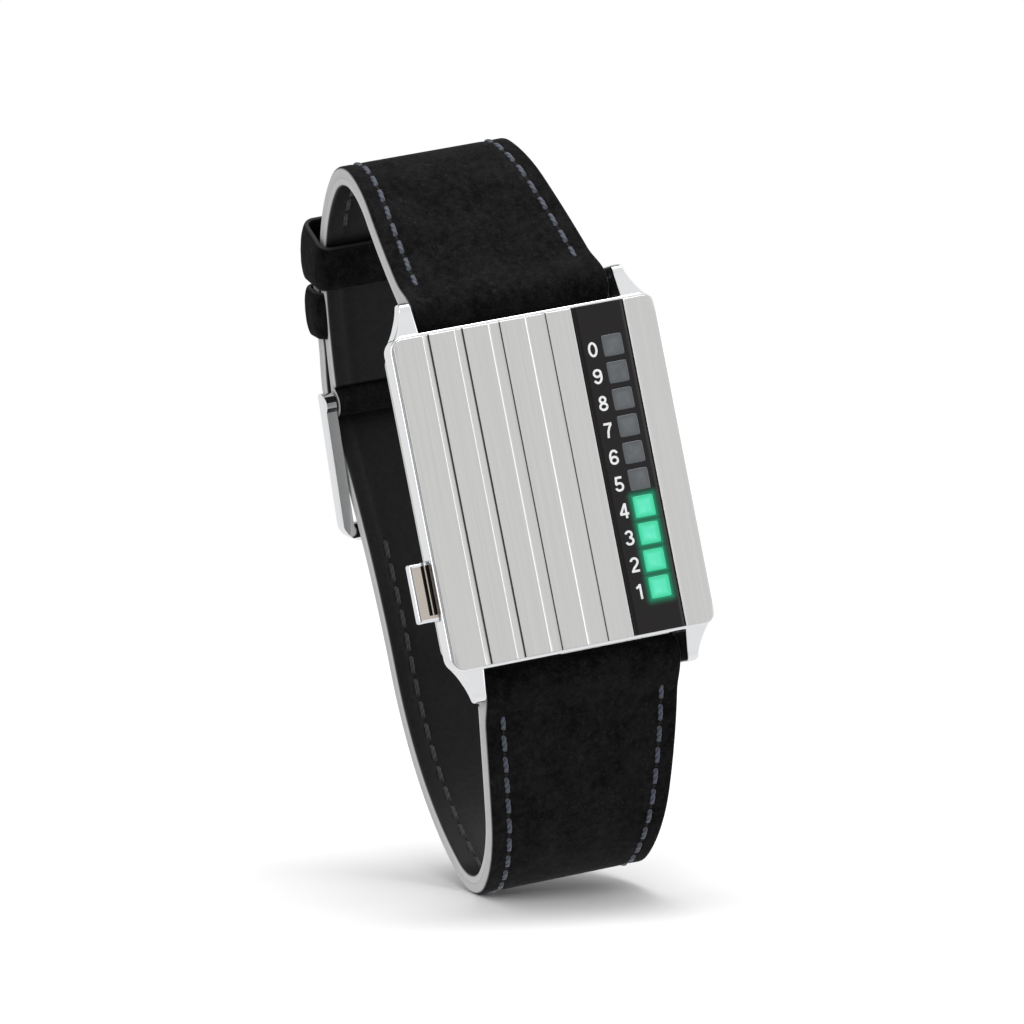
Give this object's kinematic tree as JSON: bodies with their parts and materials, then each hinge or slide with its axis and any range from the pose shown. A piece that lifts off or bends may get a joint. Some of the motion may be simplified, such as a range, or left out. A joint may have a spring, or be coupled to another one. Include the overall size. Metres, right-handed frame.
{
  "type": "led watch",
  "caption": "Slim oblong wristwatch with a grooved brushed front, a column of square light cells, a side pusher and a suede strap closed by a pin buckle.",
  "frame": {"origin": "centre of the back's outer face", "axes": "+X to 3 o'clock, +Z to 12 o'clock, +Y out of the back towards the wrist; the front looks along -Y"},
  "size_m": [0.0376, 0.0497, 0.0914],
  "materials": {
    "steel_brushed": "fine straight brushing along 12 to 6",
    "steel_polished": "polished",
    "glass_black": "polished, opaque black",
    "plastic_black": "satin",
    "diffuser_green": "translucent, glowing",
    "diffuser_grey": "translucent, unlit",
    "board_green": "solder resist, semi-gloss",
    "plastic_dark": "moulded",
    "brass": "turned",
    "rubber": "smooth",
    "leather_suede": "napped suede",
    "leather_lining": "smooth"
  },
  "bodies": {
    "watch": {"case_body": "steel_polished", "face_plate_left": "steel_brushed", "face_plate_right": "steel_brushed", "window_glass": "glass_black", "led_mask": "plastic_black", "led_diffusers": "diffuser_grey", "led_chips": "diffuser_green", "circuit_board": "board_green", "driver_chip": "plastic_black", "quartz_can": "steel_polished", "push_switch": "plastic_dark", "module_holder": "plastic_dark", "battery": "steel_brushed", "battery_contact": "brass", "battery_clip": "steel_brushed", "back_gasket": "rubber", "case_back": "steel_brushed", "back_screws": "steel_polished", "pusher_spring": "steel_polished", "pusher_tube": "brass", "pusher_ring": "rubber", "bar_tube_top": "steel_polished", "bar_tube_bottom": "steel_polished", "bar_tube_buckle": "steel_polished", "strap_short_upper": "leather_suede", "strap_short_lining": "leather_lining", "strap_long_upper": "leather_suede", "strap_long_lining": "leather_lining", "fixed_keeper": "leather_suede"},
    "pusher": {"pusher": "steel_polished", "pusher_clip": "steel_polished"},
    "frame": {"buckle_frame": "steel_polished"},
    "tongue": {"buckle_tongue": "steel_polished"},
    "keeper": {"free_keeper": "leather_suede"},
    "pin_top_left": {"pin_top_left": "steel_polished"},
    "pin_top_right": {"pin_top_right": "steel_polished"},
    "pin_bottom_left": {"pin_bottom_left": "steel_polished"},
    "pin_bottom_right": {"pin_bottom_right": "steel_polished"},
    "pin_buckle_left": {"pin_buckle_left": "steel_polished"},
    "pin_buckle_right": {"pin_buckle_right": "steel_polished"}
  },
  "joints": [
    {"name": "pusher_press", "type": "slide", "parent": "watch", "child": "pusher", "axis": [1, 0, 0], "range_m": [0, 0.0006], "stiffness_N_per_m": 1200, "springref_m": -0.0005, "deforming": ["pusher_spring"]},
    {"name": "pin_top_left_slide", "type": "slide", "parent": "watch", "child": "pin_top_left", "axis": [1, 0, 0], "range_m": [0, 0.00095], "stiffness_N_per_m": 1200, "springref_m": -0.001},
    {"name": "pin_top_right_slide", "type": "slide", "parent": "watch", "child": "pin_top_right", "axis": [-1, 0, 0], "range_m": [0, 0.00095], "stiffness_N_per_m": 1200, "springref_m": -0.001},
    {"name": "pin_bottom_left_slide", "type": "slide", "parent": "watch", "child": "pin_bottom_left", "axis": [1, 0, 0], "range_m": [0, 0.00095], "stiffness_N_per_m": 1200, "springref_m": -0.001},
    {"name": "pin_bottom_right_slide", "type": "slide", "parent": "watch", "child": "pin_bottom_right", "axis": [-1, 0, 0], "range_m": [0, 0.00095], "stiffness_N_per_m": 1200, "springref_m": -0.001},
    {"name": "pin_buckle_left_slide", "type": "slide", "parent": "watch", "child": "pin_buckle_left", "axis": [1, 0, 0], "range_m": [0, 0.00095], "stiffness_N_per_m": 1200, "springref_m": -0.001},
    {"name": "pin_buckle_right_slide", "type": "slide", "parent": "watch", "child": "pin_buckle_right", "axis": [-1, 0, 0], "range_m": [0, 0.00095], "stiffness_N_per_m": 1200, "springref_m": -0.001},
    {"name": "buckle_swing", "type": "hinge", "parent": "watch", "child": "frame", "pos_m": [0, 0.03519, 0.01532], "axis": [1, 0, 0], "range_deg": [-1, 5]},
    {"name": "tongue_swing", "type": "hinge", "parent": "frame", "child": "tongue", "pos_m": [0, 0.03519, 0.01532], "axis": [1, 0, 0], "range_deg": [0, 8]},
    {"name": "keeper_slide", "type": "hinge", "parent": "watch", "child": "keeper", "pos_m": [0, 0.01012, 0.02084], "axis": [1, 0, 0], "range_deg": [0, 12]}
  ]
}
